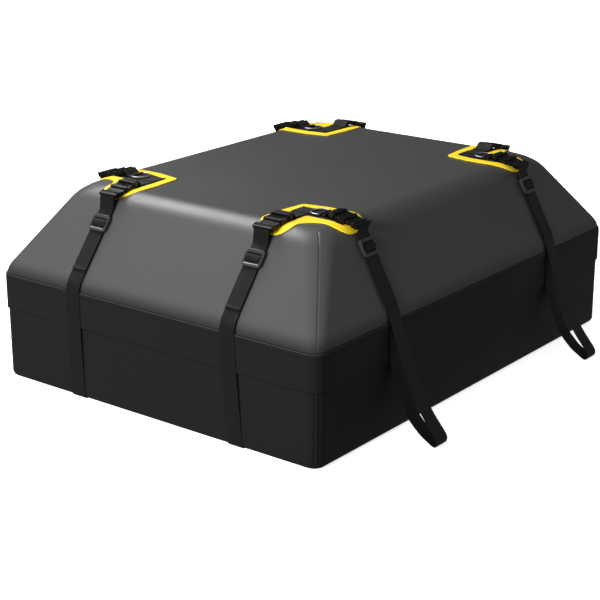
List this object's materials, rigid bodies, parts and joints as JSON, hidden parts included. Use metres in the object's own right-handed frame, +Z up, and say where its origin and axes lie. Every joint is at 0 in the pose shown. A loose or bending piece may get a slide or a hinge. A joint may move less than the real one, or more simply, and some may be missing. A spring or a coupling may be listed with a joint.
{
  "type": "rooftop cargo bag",
  "caption": "Foldable soft rooftop cargo bag with sloped grey lid, black base, yellow-edged corner patches, side-release buckles, D-rings and webbing straps.",
  "frame": {"origin": "centre of the bag's bottom, on the surface it rests on", "axes": "+X to the right side, +Y to the hinge side at the rear, -Y to the zip sliders at the front, +Z up"},
  "size_m": [1.107, 1.146, 0.445],
  "materials": {
    "lid_cloth": "coated satin cloth",
    "base_cloth": "coated satin cloth",
    "webbing": "woven webbing",
    "yellow_trim": "coated satin cloth",
    "panel_cloth": "coated cloth",
    "buckle_plastic": "moulded, glossy",
    "adjuster_plastic": "moulded, satin",
    "ring_steel": "plated wire",
    "zip_cloth": "woven tape with coil",
    "zip_metal": "cast, dull"
  },
  "bodies": {
    "bag": {"base_tub": "base_cloth", "lid": "lid_cloth", "storm_flap": "base_cloth", "zipper_upper_tape": "zip_cloth", "zipper_lower_tape": "zip_cloth", "hinge_strip": "base_cloth", "corner_border_front_right": "yellow_trim", "corner_panel_front_right": "panel_cloth", "anchor_web_front_right": "webbing", "corner_border_front_left": "yellow_trim", "corner_panel_front_left": "panel_cloth", "anchor_web_front_left": "webbing", "corner_border_rear_right": "yellow_trim", "corner_panel_rear_right": "panel_cloth", "anchor_web_rear_right": "webbing", "corner_border_rear_left": "yellow_trim", "corner_panel_rear_left": "panel_cloth", "anchor_web_rear_left": "webbing", "buckle_socket_front_right": "buckle_plastic", "strap_front_right": "webbing", "buckle_socket_right_front": "buckle_plastic", "strap_right_front": "webbing", "buckle_socket_front_left": "buckle_plastic", "strap_front_left": "webbing", "buckle_socket_left_front": "buckle_plastic", "strap_left_front": "webbing", "buckle_socket_rear_right": "buckle_plastic", "strap_rear_right": "webbing", "buckle_socket_right_rear": "buckle_plastic", "strap_right_rear": "webbing", "buckle_socket_rear_left": "buckle_plastic", "strap_rear_left": "webbing", "buckle_socket_left_rear": "buckle_plastic", "strap_left_rear": "webbing"},
    "plug_front_right": {"buckle_plug_front_right": "buckle_plastic"},
    "adjuster_front_right": {"adjuster_front_right": "adjuster_plastic"},
    "plug_right_front": {"buckle_plug_right_front": "buckle_plastic"},
    "adjuster_right_front": {"adjuster_right_front": "adjuster_plastic"},
    "plug_front_left": {"buckle_plug_front_left": "buckle_plastic"},
    "adjuster_front_left": {"adjuster_front_left": "adjuster_plastic"},
    "plug_left_front": {"buckle_plug_left_front": "buckle_plastic"},
    "adjuster_left_front": {"adjuster_left_front": "adjuster_plastic"},
    "plug_rear_right": {"buckle_plug_rear_right": "buckle_plastic"},
    "adjuster_rear_right": {"adjuster_rear_right": "adjuster_plastic"},
    "plug_right_rear": {"buckle_plug_right_rear": "buckle_plastic"},
    "adjuster_right_rear": {"adjuster_right_rear": "adjuster_plastic"},
    "plug_rear_left": {"buckle_plug_rear_left": "buckle_plastic"},
    "adjuster_rear_left": {"adjuster_rear_left": "adjuster_plastic"},
    "plug_left_rear": {"buckle_plug_left_rear": "buckle_plastic"},
    "adjuster_left_rear": {"adjuster_left_rear": "adjuster_plastic"},
    "ring_front_right": {"d_ring_front_right": "ring_steel"},
    "ring_front_left": {"d_ring_front_left": "ring_steel"},
    "ring_rear_right": {"d_ring_rear_right": "ring_steel"},
    "ring_rear_left": {"d_ring_rear_left": "ring_steel"},
    "slider_left": {"zipper_slider_left": "zip_metal"},
    "pull_left": {"zipper_pull_left": "zip_metal"},
    "slider_right": {"zipper_slider_right": "zip_metal"},
    "pull_right": {"zipper_pull_right": "zip_metal"}
  },
  "joints": [
    {"name": "plug_slide_front_right", "type": "slide", "parent": "bag", "child": "plug_front_right", "axis": [0, -0.9703, -0.2419], "range_m": [0, 0.028], "deforming": ["strap_front_right"]},
    {"name": "adjuster_slide_front_right", "type": "slide", "parent": "bag", "child": "adjuster_front_right", "axis": [0, -0.6158, -0.7879], "range_m": [0, 0.085]},
    {"name": "plug_slide_right_front", "type": "slide", "parent": "bag", "child": "plug_right_front", "axis": [0.9703, 0, -0.2419], "range_m": [0, 0.028], "deforming": ["strap_right_front"]},
    {"name": "adjuster_slide_right_front", "type": "slide", "parent": "bag", "child": "adjuster_right_front", "axis": [0.4769, 0, -0.879], "range_m": [0, 0.085]},
    {"name": "plug_slide_front_left", "type": "slide", "parent": "bag", "child": "plug_front_left", "axis": [0, -0.9703, -0.2419], "range_m": [0, 0.028], "deforming": ["strap_front_left"]},
    {"name": "adjuster_slide_front_left", "type": "slide", "parent": "bag", "child": "adjuster_front_left", "axis": [0, -0.6158, -0.7879], "range_m": [0, 0.085]},
    {"name": "plug_slide_left_front", "type": "slide", "parent": "bag", "child": "plug_left_front", "axis": [-0.9703, 0, -0.2419], "range_m": [0, 0.028], "deforming": ["strap_left_front"]},
    {"name": "adjuster_slide_left_front", "type": "slide", "parent": "bag", "child": "adjuster_left_front", "axis": [-0.4769, 0, -0.879], "range_m": [0, 0.085]},
    {"name": "plug_slide_rear_right", "type": "slide", "parent": "bag", "child": "plug_rear_right", "axis": [0, 0.9703, -0.2419], "range_m": [0, 0.028], "deforming": ["strap_rear_right"]},
    {"name": "adjuster_slide_rear_right", "type": "slide", "parent": "bag", "child": "adjuster_rear_right", "axis": [0, 0.6158, -0.7879], "range_m": [0, 0.085]},
    {"name": "plug_slide_right_rear", "type": "slide", "parent": "bag", "child": "plug_right_rear", "axis": [0.9703, 0, -0.2419], "range_m": [0, 0.028], "deforming": ["strap_right_rear"]},
    {"name": "adjuster_slide_right_rear", "type": "slide", "parent": "bag", "child": "adjuster_right_rear", "axis": [0.4769, 0, -0.879], "range_m": [0, 0.085]},
    {"name": "plug_slide_rear_left", "type": "slide", "parent": "bag", "child": "plug_rear_left", "axis": [0, 0.9703, -0.2419], "range_m": [0, 0.028], "deforming": ["strap_rear_left"]},
    {"name": "adjuster_slide_rear_left", "type": "slide", "parent": "bag", "child": "adjuster_rear_left", "axis": [0, 0.6158, -0.7879], "range_m": [0, 0.085]},
    {"name": "plug_slide_left_rear", "type": "slide", "parent": "bag", "child": "plug_left_rear", "axis": [-0.9703, 0, -0.2419], "range_m": [0, 0.028], "deforming": ["strap_left_rear"]},
    {"name": "adjuster_slide_left_rear", "type": "slide", "parent": "bag", "child": "adjuster_left_rear", "axis": [-0.4769, 0, -0.879], "range_m": [0, 0.085]},
    {"name": "ring_swing_front_right", "type": "hinge", "parent": "bag", "child": "ring_front_right", "pos_m": [0.2585, -0.3135, 0.4338], "axis": [0, 1, 0], "range_deg": [0, 130]},
    {"name": "ring_swing_front_left", "type": "hinge", "parent": "bag", "child": "ring_front_left", "pos_m": [-0.2585, -0.3135, 0.4338], "axis": [0, -1, 0], "range_deg": [0, 130]},
    {"name": "ring_swing_rear_right", "type": "hinge", "parent": "bag", "child": "ring_rear_right", "pos_m": [0.2585, 0.3135, 0.4338], "axis": [0, 1, 0], "range_deg": [0, 130]},
    {"name": "ring_swing_rear_left", "type": "hinge", "parent": "bag", "child": "ring_rear_left", "pos_m": [-0.2585, 0.3135, 0.4338], "axis": [0, -1, 0], "range_deg": [0, 130]},
    {"name": "zip_slide_left", "type": "slide", "parent": "bag", "child": "slider_left", "axis": [-1, 0, 0], "range_m": [0, 0.36]},
    {"name": "pull_swing_left", "type": "hinge", "parent": "slider_left", "child": "pull_left", "pos_m": [-0.009, -0.568, 0.205], "axis": [0, 1, 0], "range_deg": [-10, 75]},
    {"name": "zip_slide_right", "type": "slide", "parent": "bag", "child": "slider_right", "axis": [1, 0, 0], "range_m": [0, 0.36]},
    {"name": "pull_swing_right", "type": "hinge", "parent": "slider_right", "child": "pull_right", "pos_m": [0.009, -0.568, 0.205], "axis": [0, 1, 0], "range_deg": [-75, 10]}
  ]
}
